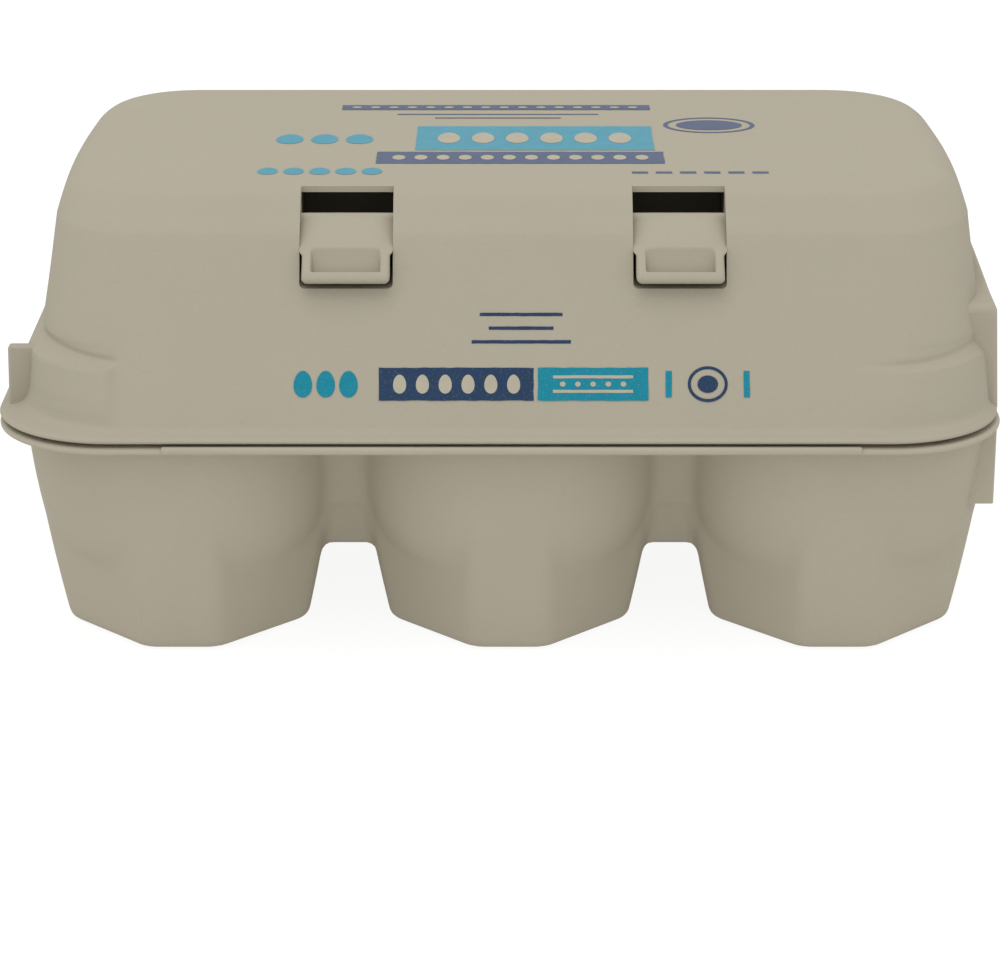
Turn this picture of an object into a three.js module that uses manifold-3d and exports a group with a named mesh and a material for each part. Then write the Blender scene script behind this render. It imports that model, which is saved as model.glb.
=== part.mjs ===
// A shut half-dozen egg carton of moulded paper pulp: a tray with two rows of three cups, a lid
// that sits on the tray's rim, and two latch tongues that look out of slots in the lid's shoulder.
// Millimetres, +Z up. X runs along the rows, the latched front faces -Y, and the cups stand on Z = 0.

import * as THREE from "three";
import Module from "manifold-3d";
import { mergeVertices } from "three/addons/utils/BufferGeometryUtils.js";

// ---------------------------------------------------------------- driving dimensions

const COLUMN_PITCH = 49.2;          // from cup to cup along the carton
const ROW_PITCH = 50.1;             // and across it
const COLUMN_SHIFT = -0.23;         // the middle cups stand this far off the middle of the flanges
const COLUMNS = 3;
const ROWS = 2;

// rim of the tray and lip of the lid: the left end has a wide flange, the right end is nearly flush
const RIM_LEFT = -75.9;
const RIM_RIGHT = 72.6;
const LIP_RIGHT = 72.1;
const RIM_HALF_DEPTH = 53.2;
const RIM_CORNER = 17;
const RIM_UNDERSIDE = 34.1;
const RIM_TOP = 35.2;
const LID_BOTTOM = 35.8;
const LID_TOP = 68.6;
const BOW_REACH = 31;               // the lid's ends bow out within this distance from the middle plane

// cups
const CUP_FOOT = 18.2;              // half width of a cup where it stands
const CUP_DRAFT = 0.228;            // growth of the half width per millimetre of height, at the foot
const CUP_CURVE = 0.0019;           // the growth slows down this much per square millimetre
const FACET_HALF = 6.0;             // half width of the flat facet on each side of a cup
const FACET_FLAT = 4.2;             // half width that is left of it between the narrow facets
const BULGE_START = 11.4;           // height where the egg-round upper part leaves the facets
const BULGE_FULL = 25;              // height where it has become a rounded square
const BULGE_RISE = 2.8;             // how much the bulge swells out above its start

// walls between neighbouring cups
const GAP_HALF = 7;                 // half width of the walls, whose sides end inside the cups
const ARCH_TOP = 19.2;
const ARCH_FOOT = 13.0;
const ARCH_HALF = 3.2;
const WEB_FACE = 2.0;               // the low web behind the arch, from the row's centre line
const WEB_LEAN = 3.4;               // and this much further out at the top of the arch
const WEB_BOTTOM = 11.2;

// fold along the front rim, where the latch flap turns up into the lid
const FOLD_HALF = 50.6;
const FOLD_RADIUS = 0.68;

// bridge blocks on the right end, and a stacking rib on the left end
const BRIDGE_HALF = 38;
const BRIDGE_FACE = 72.3;
const CUP_END = 71.9;               // the cups at this end stop inside the tray's block
const TRAY_BRIDGE_BOTTOM = 21.4;
const BRIDGE_CROWN = 2.6;           // the lid block's top rises this much from its corners to its middle
const BRIDGE_TOP = 54.8;
const RIB_X = -74.4;
const RIB_FRONT = -38.1;
const RIB_THICKNESS = 2.0;
const RIB_TOP = 46.0;

// latch slots in the lid's shoulder, and the tongues in them
const LATCH_X = [-24.05, 24.5];
const SLOT_HALF = 6.8;
const SLOT_BACK = 31.4;
const SLOT_FLOOR = 56.0;
const SLOT_HOLLOW = 9;
const PULP_THICKNESS = 0.9;
const TONGUE_GAP = 0.35;

// points of every outline
const CORNER_STEPS = 9;
const CUP_STEPS = 40;
const END_STEPS = 9;

// Lid sections from the lip upwards: [z, left x, right x, half depth, corner radius, bow of the ends].
const LID_SECTIONS = [
  [LID_BOTTOM, RIM_LEFT + 0.5, LIP_RIGHT - 0.4, RIM_HALF_DEPTH - 0.4, RIM_CORNER, 0],
  [LID_BOTTOM + 0.5, RIM_LEFT, LIP_RIGHT, RIM_HALF_DEPTH, RIM_CORNER, 0],
  [LID_BOTTOM + 0.9, RIM_LEFT + 0.3, LIP_RIGHT - 0.1, RIM_HALF_DEPTH - 0.4, RIM_CORNER - 0.2, 0],
  [37.0, -74.8, 71.75, 52.0, 16.4, 0],
  [37.4, -73.7, 71.45, 51.3, 15.9, 0],
  [38.0, -72.9, 71.3, 50.85, 15.5, 0],
  [39.6, -72.6, 71.2, 50.05, 15.2, 0],
  [41.4, -73.0, 71.4, 49.25, 15.1, 0],
  [43.6, -73.1, 71.5, 48.2, 15.0, 0],
  [45.5, -72.8, 71.3, 47.25, 15.0, 0],
  [46.0, -72.2, 70.9, 47.0, 15.1, 0],
  [47.6, -69.8, 69.8, 46.2, 15.4, 0],
  [49.2, -69.5, 69.6, 45.4, 15.4, 0.3],
  [62.2, -67.7, 68.0, 38.9, 14.0, 0.9],
  [63.6, -67.4, 67.8, 38.0, 13.8, 1.0],
  [65.4, -66.5, 67.0, 36.2, 13.2, 1.1],
  [67.0, -65.0, 65.5, 34.7, 12.2, 1.1],
  [68.1, -63.1, 63.6, 33.4, 11.0, 1.1],
  [LID_TOP, -60.2, 60.6, 31.8, 9.6, 1.1],
];

// ---------------------------------------------------------------- solids

const wasm = await Module();
wasm.setup();

// Closed three.js geometry to a solid for joining and cutting.
function solid(geometry) {
  const bare = geometry.clone();
  bare.deleteAttribute("normal");
  bare.deleteAttribute("uv");
  const merged = mergeVertices(bare, 1e-5);
  const vertProperties = new Float32Array(merged.attributes.position.array);
  const triVerts = new Uint32Array(merged.index.array);
  return new wasm.Manifold(new wasm.Mesh({ numProp: 3, vertProperties, triVerts }));
}

function geometryOf(body) {
  const mesh = body.getMesh();
  const positions = new Float32Array(mesh.numVert * 3);
  for (let v = 0; v < mesh.numVert; v += 1) {
    for (let axis = 0; axis < 3; axis += 1) {
      positions[3 * v + axis] = mesh.vertProperties[mesh.numProp * v + axis];
    }
  }
  const geometry = new THREE.BufferGeometry();
  geometry.setAttribute("position", new THREE.BufferAttribute(positions, 3));
  geometry.setIndex(Array.from(mesh.triVerts));
  geometry.computeVertexNormals();
  return geometry;
}

function union(bodies) {
  return bodies.slice(1).reduce((sum, body) => sum.add(body), bodies[0]);
}

// Skin over stacked outlines with equal point counts, listed upwards and turning counter-clockwise.
function loft(rings) {
  const count = rings[0].length;
  const positions = rings.flat().flatMap((p) => [p.x, p.y, p.z]);
  const index = [];
  for (let r = 0; r + 1 < rings.length; r += 1) {
    for (let i = 0; i < count; i += 1) {
      const a = r * count + i;
      const b = r * count + ((i + 1) % count);
      index.push(a, b, b + count, a, b + count, a + count);
    }
  }
  const top = (rings.length - 1) * count;
  for (let i = 1; i + 1 < count; i += 1) {
    index.push(0, i + 1, i);
    index.push(top, top + i, top + i + 1);
  }
  const geometry = new THREE.BufferGeometry();
  geometry.setAttribute("position", new THREE.BufferAttribute(new Float32Array(positions), 3));
  geometry.setIndex(index);
  return solid(geometry);
}

// Outline of a rectangle with round corners at height z.
function roundedOutline(z, x0, x1, y0, y1, radius) {
  const corners = [
    [x1 - radius, y0 + radius, -90],
    [x1 - radius, y1 - radius, 0],
    [x0 + radius, y1 - radius, 90],
    [x0 + radius, y0 + radius, 180],
  ];
  const points = [];
  for (const [cx, cy, start] of corners) {
    for (let s = 0; s <= CORNER_STEPS; s += 1) {
      const angle = THREE.MathUtils.degToRad(start + (90 * s) / CORNER_STEPS);
      points.push(new THREE.Vector3(cx + radius * Math.cos(angle), cy + radius * Math.sin(angle), z));
    }
  }
  return points;
}

function box(x0, x1, y0, y1, z0, z1) {
  const geometry = new THREE.BoxGeometry(x1 - x0, y1 - y0, z1 - z0);
  geometry.translate((x0 + x1) / 2, (y0 + y1) / 2, (z0 + z1) / 2);
  return solid(geometry);
}

// Prism along X from x0 to x1 with a polygon of [y, z] points as its section.
function prismX(points, x0, x1) {
  const shape = new THREE.Shape(points.map(([y, z]) => new THREE.Vector2(y, z)));
  const geometry = new THREE.ExtrudeGeometry(shape, { depth: x1 - x0, bevelEnabled: false });
  geometry.applyMatrix4(new THREE.Matrix4().set(0, 0, 1, x0, 1, 0, 0, 0, 0, 1, 0, 0, 0, 0, 0, 1));
  return solid(geometry);
}

// Prism along Y from y0 to y1 with a shape in X and Z as its section.
function prismY(shape, y0, y1, curveSegments) {
  const geometry = new THREE.ExtrudeGeometry(shape, { depth: y1 - y0, bevelEnabled: false, curveSegments });
  geometry.applyMatrix4(new THREE.Matrix4().set(1, 0, 0, 0, 0, 0, -1, y1, 0, 1, 0, 0, 0, 0, 0, 1));
  return solid(geometry);
}

// Bar with round corners in its X-Z view, running from y0 to y1.
function roundedBarY(x0, x1, z0, z1, radius, y0, y1) {
  const outline = roundedOutline(0, x0, x1, z0, z1, radius);
  return prismY(new THREE.Shape(outline.map((p) => new THREE.Vector2(p.x, p.y))), y0, y1);
}

// ---------------------------------------------------------------- tray

const cupHalf = (z) => CUP_FOOT + CUP_DRAFT * z - CUP_CURVE * z * z;

// Outline of one cup from a distance that depends on the direction.
function cupOutline(x, y, z, reach) {
  const points = [];
  for (let i = 0; i < CUP_STEPS; i += 1) {
    const angle = (2 * Math.PI * i) / CUP_STEPS;
    const r = reach(Math.abs(Math.cos(angle)), Math.abs(Math.sin(angle)));
    points.push(new THREE.Vector3(x + r * Math.cos(angle), y + r * Math.sin(angle), z));
  }
  return points;
}

// Lower part of a cup: four flat facets on its sides, four broad ones across its corners, and narrow
// ones between them.
function facetedPart(x, y) {
  const levels = [[0, -0.6], [0.3, -0.15], [0.9, 0], [12, 0], [23, 0], [RIM_UNDERSIDE + 0.4, 0]];
  const turn = Math.PI / 8;
  const rings = levels.map(([z, inset]) => {
    const half = cupHalf(z) + inset;
    const across = half + FACET_HALF + inset * 0.4;
    const between = half * Math.cos(turn) + FACET_FLAT * Math.sin(turn);
    const reach = (c, s) => Math.min(
      half / Math.max(c, s),
      across / (c + s),
      between / (Math.max(c, s) * Math.cos(turn) + Math.min(c, s) * Math.sin(turn)));
    return cupOutline(x, y, z, reach);
  });
  return loft(rings);
}

// Upper part of a cup: circular where it starts, a rounded square under the rim.
function bulgedPart(x, y) {
  const levels = [0, 0.14, 0.32, 0.55, 0.8, 1];
  const rings = levels.map((t) => {
    const z = BULGE_START + (BULGE_FULL - BULGE_START) * t;
    const half = cupHalf(z) - 0.35 - BULGE_RISE * (1 - t) ** 3;
    const power = 2 + 1.1 * t;
    return cupOutline(x, y, z, (c, s) => half / (c ** power + s ** power) ** (1 / power));
  });
  const half = cupHalf(RIM_UNDERSIDE) - 0.35;
  rings.push(cupOutline(x, y, RIM_UNDERSIDE + 0.4, (c, s) => half / (c ** 3.4 + s ** 3.4) ** (1 / 3.4)));
  return loft(rings);
}

// Wall that closes the gap between two neighbouring cups at the outside of the tray, placed for the -Y
// side with the middle of the gap at the origin. It leans inwards going down to an arch, and behind the
// arch a web reaches lower.
function gapWall() {
  const section = [
    [0, ARCH_FOOT],
    [-3.2, ARCH_FOOT],
    [-7.5, ARCH_TOP],
    [-10.8, 24],
    [-14.2, 28.5],
    [-17, RIM_UNDERSIDE + 0.4],
    [0, RIM_UNDERSIDE + 0.4],
  ];
  const opening = new THREE.Shape();
  opening.moveTo(-ARCH_HALF - 2.4, ARCH_FOOT - 3);
  opening.quadraticCurveTo(-ARCH_HALF, ARCH_FOOT + 0.5, -ARCH_HALF + 0.2, ARCH_TOP - 1.6);
  opening.quadraticCurveTo(-ARCH_HALF + 0.4, ARCH_TOP, -ARCH_HALF + 1.9, ARCH_TOP);
  opening.lineTo(ARCH_HALF - 1.9, ARCH_TOP);
  opening.quadraticCurveTo(ARCH_HALF - 0.4, ARCH_TOP, ARCH_HALF - 0.2, ARCH_TOP - 1.6);
  opening.quadraticCurveTo(ARCH_HALF, ARCH_FOOT + 0.5, ARCH_HALF + 2.4, ARCH_FOOT - 3);
  const arch = prismY(opening, -40, 1, 5);
  const web = prismX([
    [0, WEB_BOTTOM],
    [-WEB_FACE, WEB_BOTTOM],
    [-WEB_FACE - WEB_LEAN, ARCH_TOP + 0.4],
    [-WEB_FACE - WEB_LEAN, RIM_UNDERSIDE],
    [0, RIM_UNDERSIDE],
  ].reverse(), -GAP_HALF, GAP_HALF);
  return prismX(section, -GAP_HALF, GAP_HALF).subtract(arch).add(web);
}

function makeTray() {
  const parts = [];
  const rowY = (row) => (row - (ROWS - 1) / 2) * ROW_PITCH;
  const columnX = (column) => (column - (COLUMNS - 1) / 2) * COLUMN_PITCH + COLUMN_SHIFT;
  for (let row = 0; row < ROWS; row += 1) {
    for (let column = 0; column < COLUMNS; column += 1) {
      parts.push(facetedPart(columnX(column), rowY(row)));
      parts.push(bulgedPart(columnX(column), rowY(row)));
    }
  }
  const [leftX, rightX] = [columnX(0), columnX(COLUMNS - 1)];
  const reachY = rowY(ROWS - 1);
  for (let column = 0; column + 1 < COLUMNS; column += 1) {
    const x = columnX(column) + COLUMN_PITCH / 2;
    parts.push(gapWall().translate([x, -reachY, 0]));
    parts.push(gapWall().rotate([0, 0, 180]).translate([x, reachY, 0]));
  }
  parts.push(gapWall().rotate([0, 0, 90]).translate([rightX, 0, 0]));
  parts.push(gapWall().rotate([0, 0, -90]).translate([leftX, 0, 0]));
  parts.push(box(leftX - 1, rightX + 1, -reachY - 1, reachY + 1, WEB_BOTTOM, RIM_TOP - 0.5));
  const beyond = box(CUP_END, CUP_END + 10, -RIM_HALF_DEPTH, RIM_HALF_DEPTH, -1, RIM_TOP);
  const cups = union(parts).subtract(beyond);

  // rim
  const rim = [[RIM_UNDERSIDE, -0.35], [RIM_UNDERSIDE + 0.4, 0], [RIM_TOP - 0.3, 0], [RIM_TOP, -0.3]];
  const bodies = [cups, loft(rim.map(([z, grow]) => roundedOutline(
    z, RIM_LEFT - grow, RIM_RIGHT + grow, -RIM_HALF_DEPTH - grow, RIM_HALF_DEPTH + grow, RIM_CORNER)))];

  // folds along the front and back rims
  for (const side of [-1, 1]) {
    const fold = new THREE.CylinderGeometry(FOLD_RADIUS, FOLD_RADIUS, 2 * FOLD_HALF, 12);
    fold.rotateZ(Math.PI / 2);
    fold.translate(0, side * (RIM_HALF_DEPTH - 0.25), LID_BOTTOM - 0.3 - FOLD_RADIUS);
    bodies.push(solid(fold));
  }

  // bridge block on the right end
  const bottom = TRAY_BRIDGE_BOTTOM;
  const bridge = [[bottom, -0.5], [bottom + 0.5, 0], [RIM_UNDERSIDE + 0.4, 0]];
  bodies.push(loft(bridge.map(([z, grow]) => roundedOutline(
    z, 60, BRIDGE_FACE + grow, -BRIDGE_HALF - grow, BRIDGE_HALF + grow, 0.8))));
  return union(bodies);
}

// ---------------------------------------------------------------- lid

// Outline of the lid at a section: a rectangle with round corners whose ends bow out a little.
function lidOutline([z, left, right, depth, radius, bow]) {
  const corners = roundedOutline(z, left, right, -depth, depth, radius);
  const count = CORNER_STEPS + 1;
  const points = [];
  for (let corner = 0; corner < 4; corner += 1) {
    points.push(...corners.slice(corner * count, (corner + 1) * count));
    if (corner % 2 === 0) {
      const from = points[points.length - 1];
      const to = corners[(corner + 1) * count];
      for (let s = 1; s <= END_STEPS; s += 1) {
        points.push(from.clone().lerp(to, s / (END_STEPS + 1)));
      }
    }
  }
  for (const p of points) {
    p.x += Math.sign(p.x) * bow * Math.max(1 - (p.y / BOW_REACH) ** 2, 0) ** 1.5;
  }
  return points;
}

// Shoulder of the front wall at height z, as its distance from the carton's middle plane.
function wallDepth(z) {
  const above = LID_SECTIONS.findIndex((section) => section[0] >= z);
  const [z1, , , d1] = LID_SECTIONS[above];
  const [z0, , , d0] = LID_SECTIONS[above - 1];
  return d0 + ((d1 - d0) * (z - z0)) / (z1 - z0);
}

function makeLid() {
  const parts = [loft(LID_SECTIONS.map(lidOutline))];

  // bridge block on the right end, its top rising towards the middle: [z, half length, face]
  const corner = BRIDGE_TOP - BRIDGE_CROWN;
  const levels = [
    [LID_BOTTOM + 0.6, BRIDGE_HALF, BRIDGE_FACE - 0.1],
    [corner - 1, BRIDGE_HALF, BRIDGE_FACE - 0.85],
  ];
  for (const share of [0.97, 0.72, 0.45, 0.2, 0.05]) {
    const z = BRIDGE_TOP - BRIDGE_CROWN * share ** 1.3;
    levels.push([z, BRIDGE_HALF * share, BRIDGE_FACE - 1.1]);
  }
  parts.push(loft(levels.map(([z, half, face]) => roundedOutline(z, 60, face, -half, half, 0.8))));

  // rib on the left end
  const ribBack = RIB_FRONT + RIB_THICKNESS;
  const rib = [[LID_BOTTOM + 0.6, 0], [RIB_TOP - 0.3, 0], [RIB_TOP, 0.25]];
  parts.push(loft(rib.map(([z, inset]) => roundedOutline(
    z, RIB_X + inset, -60, RIB_FRONT + inset, ribBack - inset, 0.4))));

  // slots, open to the front and hollow behind the edge of their upper end
  const slot = [
    [-60, SLOT_FLOOR],
    [-SLOT_BACK + SLOT_HOLLOW, SLOT_FLOOR],
    [-SLOT_BACK + SLOT_HOLLOW, LID_TOP - PULP_THICKNESS],
    [-SLOT_BACK, LID_TOP - PULP_THICKNESS],
    [-SLOT_BACK, 80],
    [-60, 80],
  ];
  const slots = LATCH_X.map((x) => prismX(slot, x - SLOT_HALF, x + SLOT_HALF));
  return slots.reduce((body, pocket) => body.subtract(pocket), union(parts));
}

// ---------------------------------------------------------------- latch tongues

// A tongue fills the lower part of its slot: a sloping back, and a lip with a dished middle.
function makeTongue() {
  const half = SLOT_HALF - TONGUE_GAP;
  const floor = SLOT_FLOOR + TONGUE_GAP;
  const wall = wallDepth(floor);
  const profile = [
    [-SLOT_BACK - TONGUE_GAP, floor],
    [-wall, floor],
    [-wall - 1.3, floor + 0.4],
    [-wall - 2.0, floor + 1.1],
    [-wall - 1.9, floor + 2.1],
    [-42.4, 59.8],
    [-40.0, 61.8],
    [-36.6, 64.2],
    [-35.4, 64.95],
    [-34.3, 65.1],
    [-33.2, 64.4],
    [-SLOT_BACK - TONGUE_GAP, 60.5],
  ];
  const body = prismX(profile.reverse(), -half, half);
  const dish = roundedBarY(-4.9, 4.9, floor + 2.5, 61.6, 0.6, -wall - 6, -wall + 0.5);
  return body.subtract(dish);
}

// ---------------------------------------------------------------- scene graph

const PULP = { color: 0xa9a18c, roughness: 0.92, metalness: 0 };
const carton = new THREE.Group();
carton.position.x = -(RIM_LEFT + RIM_RIGHT) / 2;

function addPart(name, body, x = 0) {
  const mesh = new THREE.Mesh(geometryOf(body), new THREE.MeshStandardMaterial(PULP));
  mesh.name = name;
  mesh.position.x = x;
  carton.add(mesh);
}

addPart("base", makeTray());
addPart("lid", makeLid());
addPart("latch_left", makeTongue(), LATCH_X[0]);
addPart("latch_right", makeTongue(), LATCH_X[1]);

export default carton;
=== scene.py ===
import math

import bpy
import numpy as np
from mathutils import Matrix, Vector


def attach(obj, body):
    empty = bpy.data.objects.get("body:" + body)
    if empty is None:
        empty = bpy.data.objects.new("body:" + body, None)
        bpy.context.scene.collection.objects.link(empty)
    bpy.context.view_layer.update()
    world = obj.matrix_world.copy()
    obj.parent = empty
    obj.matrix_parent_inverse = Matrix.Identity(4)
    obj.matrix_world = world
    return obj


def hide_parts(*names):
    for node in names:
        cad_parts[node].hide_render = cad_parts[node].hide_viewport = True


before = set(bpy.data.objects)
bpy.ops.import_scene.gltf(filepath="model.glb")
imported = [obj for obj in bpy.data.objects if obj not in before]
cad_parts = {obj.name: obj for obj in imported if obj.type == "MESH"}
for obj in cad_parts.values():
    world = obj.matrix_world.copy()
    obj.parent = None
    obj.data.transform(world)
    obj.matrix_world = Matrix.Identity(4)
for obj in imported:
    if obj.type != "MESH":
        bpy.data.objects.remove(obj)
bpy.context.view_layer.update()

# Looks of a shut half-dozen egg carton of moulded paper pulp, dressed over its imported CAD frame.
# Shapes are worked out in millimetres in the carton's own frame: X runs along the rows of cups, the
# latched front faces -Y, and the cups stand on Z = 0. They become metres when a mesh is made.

# ---------------------------------------------------------------- sizes, in millimetres

MM = 0.001
RIM_LEFT = -75.9
RIM_RIGHT = 72.6
SHIFT = -(RIM_LEFT + RIM_RIGHT) / 2      # from the carton's own frame to the part's frame, along X
RIM_HALF_DEPTH = 53.2
RIM_CORNER = 17.0
RIM_UNDERSIDE = 34.1
RIM_TOP = 35.2
LID_TOP = 68.6

# Section of the rim: [z, inset from its outline].
RIM_SECTION = [
    [RIM_UNDERSIDE, 1.0], [RIM_UNDERSIDE + 0.02, 0.5], [RIM_UNDERSIDE + 0.2, 0.12],
    [RIM_UNDERSIDE + 0.55, 0.0], [RIM_TOP - 0.25, 0.1], [RIM_TOP - 0.03, 0.45], [RIM_TOP, 1.0],
]

COLUMN_PITCH = 49.2                      # between cups along the rows
ROW_PITCH = 50.1                         # and across them
COLUMN_SHIFT = -0.23                     # from the carton's own frame to the middle cups, along X
CUP_FOOT = 18.2                          # half width of a cup at its foot
CUP_DRAFT = 0.228                        # growth of the half width with height
CUP_CURVE = 0.0019                       # and how the growth slackens
CUP_END = 71.9                           # the cups at the right end stop inside the tray's block
FACET_HALF = 5.6                         # half width of a cup's flat front, to the oblique facets
FACET_FLAT = 4.9                         # half width that the narrow facets beside it leave
BULGE_START = 11.4                       # height where the bulge leaves the facets
BULGE_FULL = 25.0                        # height where it is full
BULGE_RISE = 2.8                         # how much it swells between the two
BULGE_OVER = 0.45                        # how far its round outline would pass the flat front
BULGE_SQUARE = 0.25                      # how much squarer than a circle it grows

GAP_HALF = 7.0                           # half width of the wall between two cups
ARCH_FOOT = 13.0
ARCH_TOP = 19.2
ARCH_HALF = 3.2
ARCH_FLARE = 2.4                         # how much the arch widens at its foot
GAP_WALL_Z = [ARCH_FOOT, ARCH_TOP, 24.0, 28.5, RIM_UNDERSIDE]
GAP_WALL_OUT = [3.2, 7.0, 9.0, 10.8, 12.2]   # the wall's distance from the line of cup centres there
WEB_FACE = 2.6                           # the low web behind an arch, from the same line
WEB_LEAN = 3.8                           # and this much further out at the top of the arch
WEB_BOTTOM = 11.2
MIDDLE_OVER = 1.0                        # the tray's middle reaches this far past the cup centres

# How softly the tray's surfaces run into each other.
CUP_TO_WALL = 1.6
BULGE_TO_FACETS = 0.6
FLAT_TO_BULGE = 0.4
OBLIQUE_EDGE = 0.7
NARROW_EDGE = 0.5
FOOT_EDGE = 1.5
WALL_TO_MIDDLE = 0.5
WEB_EDGE = 0.8
ARCH_EDGE = 0.9
ARCH_CORNER = 2.4

TRAY_GRAIN = 0.72                        # cell of the tray's field
FOOT_GRAIN = 0.4                         # and of its lowest layers

FOLD_HALF = 50.6
FOLD_LOW = 34.35
FOLD_HIGH = 35.45
FOLD_THICKNESS = 1.1
FOLD_RADIUS = 0.42
FOLD_INSET = 0.2                         # its middle from the rim's outline
# Stations along the fold: [share of its half length, how much its section shrinks].
FOLD_STATIONS = [
    (-1, 0.35), (-0.9985, 0.12), (-0.995, 0), (-0.5, 0), (0, 0), (0.5, 0), (0.995, 0), (0.9985, 0.12),
    (1, 0.35),
]

BRIDGE_HALF = 38.0
BRIDGE_FACE = 72.2
BRIDGE_ROOT = 60.0                       # the blocks are rooted inside the carton here
TRAY_BRIDGE_BOTTOM = 21.4
TRAY_BRIDGE_TOP = RIM_UNDERSIDE + 0.3
TRAY_BRIDGE_EDGE = 0.4                   # radius of its free edges
LID_BRIDGE_BOTTOM = 36.4
LID_BRIDGE_TOP = 54.8
LID_BRIDGE_CROWN = 2.6                   # its top falls this much from its middle to its corners
LID_BRIDGE_EDGE = 0.9
LID_BRIDGE_CORNER = 1.1                  # radius of its top's ends
RIB_FACE = -74.4
RIB_ROOT = -62.0
RIB_FRONT = -38.1
RIB_BACK = -36.1
RIB_TOP = 46.0
RIB_LEAN = 0.02
RIB_EDGE = 0.4
RIB_CORNER = 0.35

LATCH_X = (-24.05, 24.5)
SLOT_HALF = 6.8
SLOT_BACK = 31.4
SLOT_FLOOR = 56.0
SLOT_HOLLOW = 9.0                        # how far the hollow runs on behind the slot; its faces are painted dark as shade
SLOT_SILL = 0.6                          # height of the hollow's floor above the slot's
SLOT_OPEN = 60.0                         # the cut for a slot starts this far out, in front of the wall
HOLLOW_OVERLAP = 1.0                     # and the hollow's cut starts this far inside the slot
PULP_THICKNESS = 0.9
SLOT_CORNER = 0.7

INK = 0.05                               # height of the print above the pulp

# Front wall, which carries print: its distance from the middle plane falls with height.
WALL_Z = 62.2
WALL_DEPTH = 38.9
WALL_SLOPE = 0.5

# Lid sections from the lip upwards, without the ledges:
# [z, left x, right x, half depth, corner radius, bow of the ends].
LID_SECTIONS = [
    [35.8, -75.4, 71.7, 52.8, 17.0, 0.0],
    [36.0, -75.75, 72.0, 53.1, 17.0, 0.0],
    [36.3, -75.9, 72.1, 53.2, 17.0, 0.0],
    [36.7, -75.6, 72.0, 52.8, 16.8, 0.0],
    [37.0, -74.8, 71.75, 52.0, 16.4, 0.0],
    [37.4, -73.4, 71.3, 51.3, 15.9, 0.0],
    [38.0, -72.2, 70.9, 50.85, 15.5, 0.0],
    [39.6, -71.0, 70.5, 50.05, 15.2, 0.0],
    [41.4, -70.55, 70.3, 49.25, 15.1, 0.0],
    [43.6, -70.25, 70.15, 48.2, 15.0, 0.0],
    [45.5, -70.0, 69.98, 47.25, 15.0, 0.0],
    [47.6, -69.75, 69.8, 46.2, 14.9, 0.0],
    [49.2, -69.5, 69.6, 45.4, 14.2, 0.3],
    [55.5, -68.6, 68.8, 42.25, 13.6, 0.65],
    [62.2, -67.7, 68.0, 38.9, 13.6, 0.9],
    [63.6, -67.4, 67.8, 38.0, 13.6, 1.0],
    [65.4, -66.5, 67.0, 36.2, 13.2, 1.1],
    [67.0, -65.0, 65.5, 34.7, 12.2, 1.1],
    [68.1, -63.1, 63.6, 33.4, 11.0, 1.1],
    [68.6, -60.2, 60.6, 31.8, 9.6, 1.1],
]

# Ledges at the lid's ends: how far they stand out, how they grow with height: [z, share], the height
# of their edges, and the grooves above them.
LEDGE_LEFT = 1.4
LEDGE_LEFT_CORNER = 2.25
LEDGE_RIGHT = 0.8
LEDGE_GROWTH = [[37.4, 0.0], [38.0, 0.07], [39.6, 0.44], [41.4, 0.64], [43.6, 0.82], [45.2, 1.0]]
LEDGE_LEFT_FADE = (56.8, 58.8)           # the left ledge grows to full between these, along X
LEDGE_RIGHT_FADE = (50.0, 58.0)          # and the right one between these
LEDGE_DIP = (2.0, 9.0)                   # and the left one is missing at its end's middle, along Y
LEDGE_EDGE_LEFT = 45.75
LEDGE_EDGE_RIGHT = 45.3
LEDGE_FACE_POWER = 1.8                   # hollowness of the face between edge and groove
GROOVE_LOW = 0.5                         # height of the groove above a ledge's edge, along the front
GROOVE_HIGH = 2.0                        # and at the ends
GROOVE_WIDTH = 0.6
GROOVE_DEPTH = 0.32
BOW_REACH = 31.0                         # the ends bow out within this distance from the middle plane

# ---------------------------------------------------------------- colours, linear

PULP = (0.397, 0.363, 0.285)
# The tray is the lid's pulp made lighter: painted light that brightens the cups beyond what the lamps
# give them.
LIGHTENED_PULP_FOR_TRAY = (0.437, 0.398, 0.311)
# Near black for the hollows behind the slots: painted shade, the pulp coloured as if it lay in shadow.
PULP_PAINTED_SHADE = (0.105, 0.096, 0.070)
TEAL = (0.010, 0.210, 0.290)
NAVY = (0.021, 0.046, 0.098)
# Paler copies of the teal and navy inks for the lid's top: painted sheen.
SHEEN_TEAL_COLOUR = (0.096, 0.297, 0.381)
SHEEN_NAVY_COLOUR = (0.104, 0.128, 0.195)

# ---------------------------------------------------------------- small tools


def smooth_min(a, b, blend):
    """The lesser of two values, rounded over where they differ by less than blend."""
    share = np.clip(0.5 + 0.5 * (b - a) / blend, 0, 1)
    return b + (a - b) * share - blend * share * (1 - share)


def smooth_max(a, b, blend):
    """The greater of two values, rounded over where they differ by less than blend."""
    return -smooth_min(-a, -b, blend)


def ramp(value, start, end):
    """0 before start, 1 after end, and a soft S between them."""
    t = np.clip((value - start) / (end - start), 0, 1)
    return t * t * (3 - 2 * t)


def make_mesh(name, points, faces, material, sharp_deg=180.0):
    """Object of a mesh given in millimetres in the carton's own frame."""
    mesh = bpy.data.meshes.new(name)
    placed = (np.asarray(points, float) + [SHIFT, 0, 0]) * MM
    corners = [list(map(int, face)) for face in faces]
    mesh.from_pydata(placed.tolist(), [], corners)
    mesh.validate()
    mesh.materials.append(material)
    mesh.shade_smooth()
    if sharp_deg < 180:
        mesh.set_sharp_from_angle(angle=math.radians(sharp_deg))
    piece = bpy.data.objects.new(name, mesh)
    bpy.context.scene.collection.objects.link(piece)
    return piece


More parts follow.
